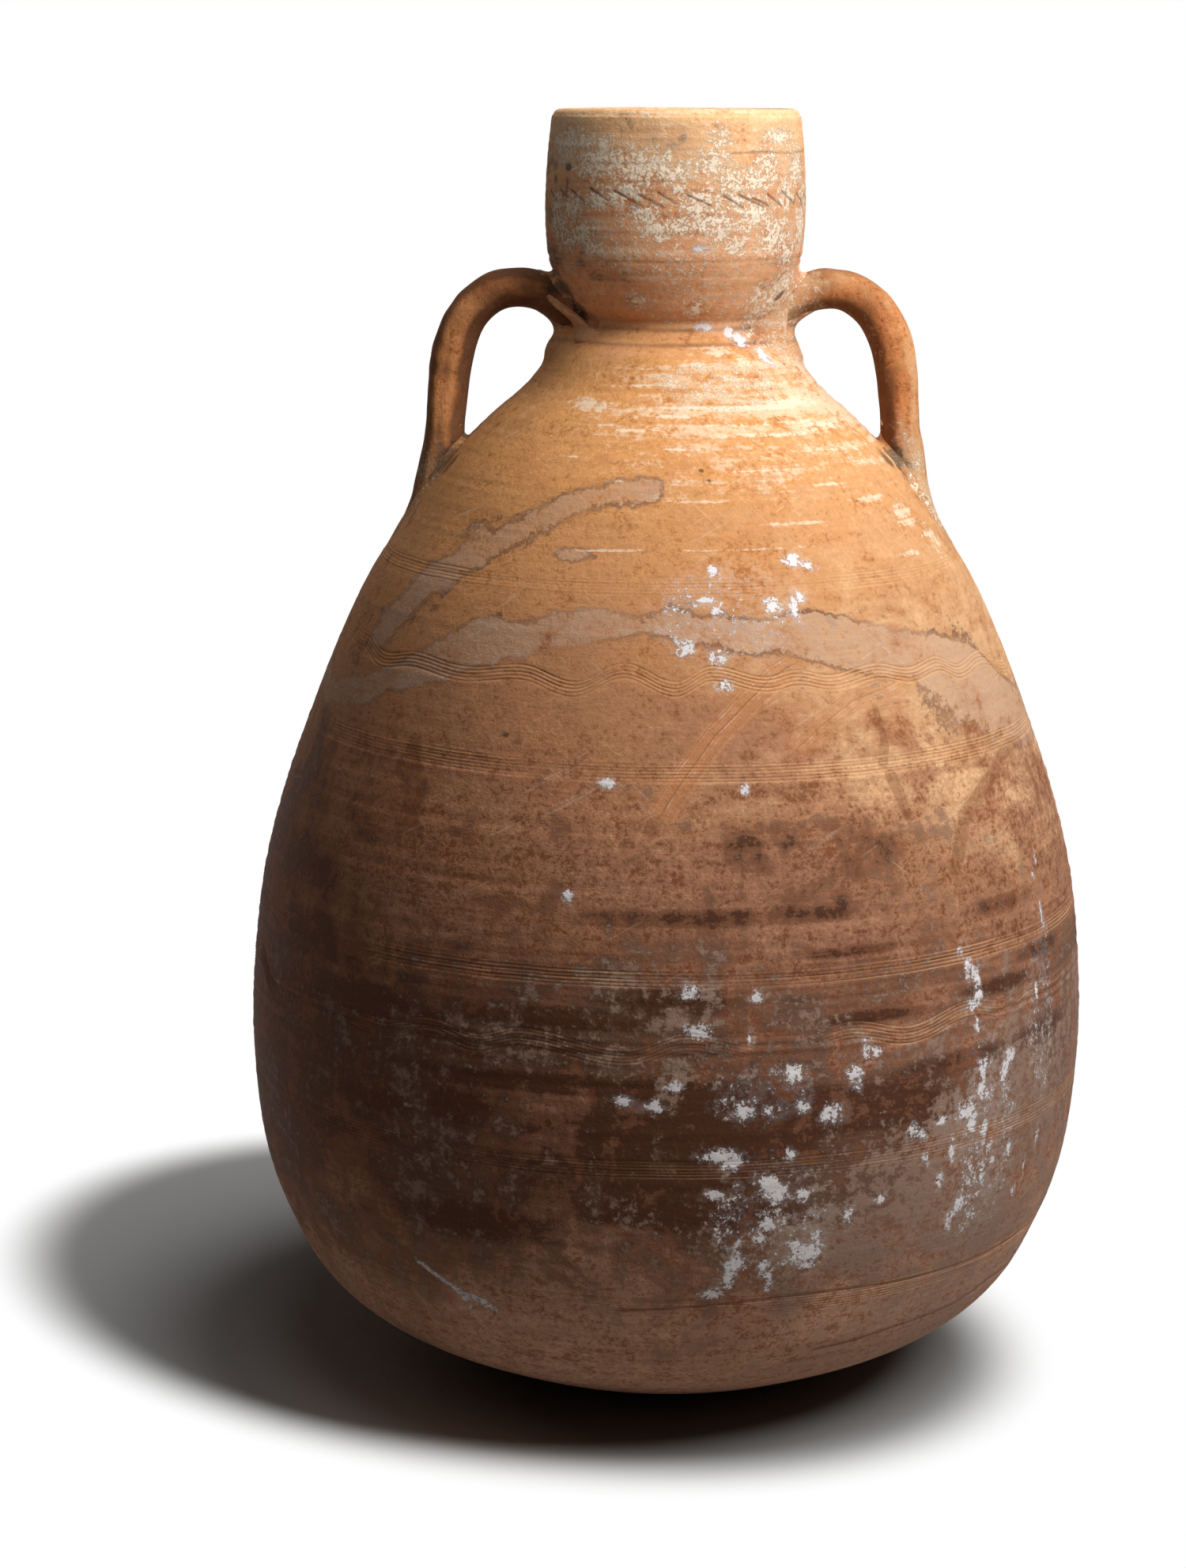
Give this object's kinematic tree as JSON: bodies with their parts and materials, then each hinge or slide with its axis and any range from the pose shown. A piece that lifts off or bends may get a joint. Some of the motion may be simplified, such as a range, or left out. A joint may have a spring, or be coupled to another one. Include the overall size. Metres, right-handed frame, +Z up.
{
  "type": "terracotta storage jar",
  "caption": "Large ovoid fired-clay storage jar with a rounded bottom, narrow neck, deep cup-shaped mouth and loop handles from neck to shoulder.",
  "frame": {"origin": "middle of the flat foot, on the ground", "axes": "+Z up the jar's axis, X through both handles, -Y the side that the picture shows"},
  "size_m": [0.3966, 0.3966, 0.6],
  "materials": {
    "terracotta": "matt fired clay",
    "weathered_terracotta": "matt fired clay, stained",
    "luting_clay": "rough fired clay"
  },
  "bodies": {
    "root": {"base_bowl": "weathered_terracotta", "lower_wall": "weathered_terracotta", "upper_wall": "terracotta", "shoulder": "terracotta", "neck": "terracotta", "mouth_collar": "terracotta", "handle_left": "terracotta", "handle_right": "terracotta", "left_upper_luting": "luting_clay", "left_lower_luting": "luting_clay", "right_upper_luting": "luting_clay", "right_lower_luting": "luting_clay"}
  },
  "joints": []
}
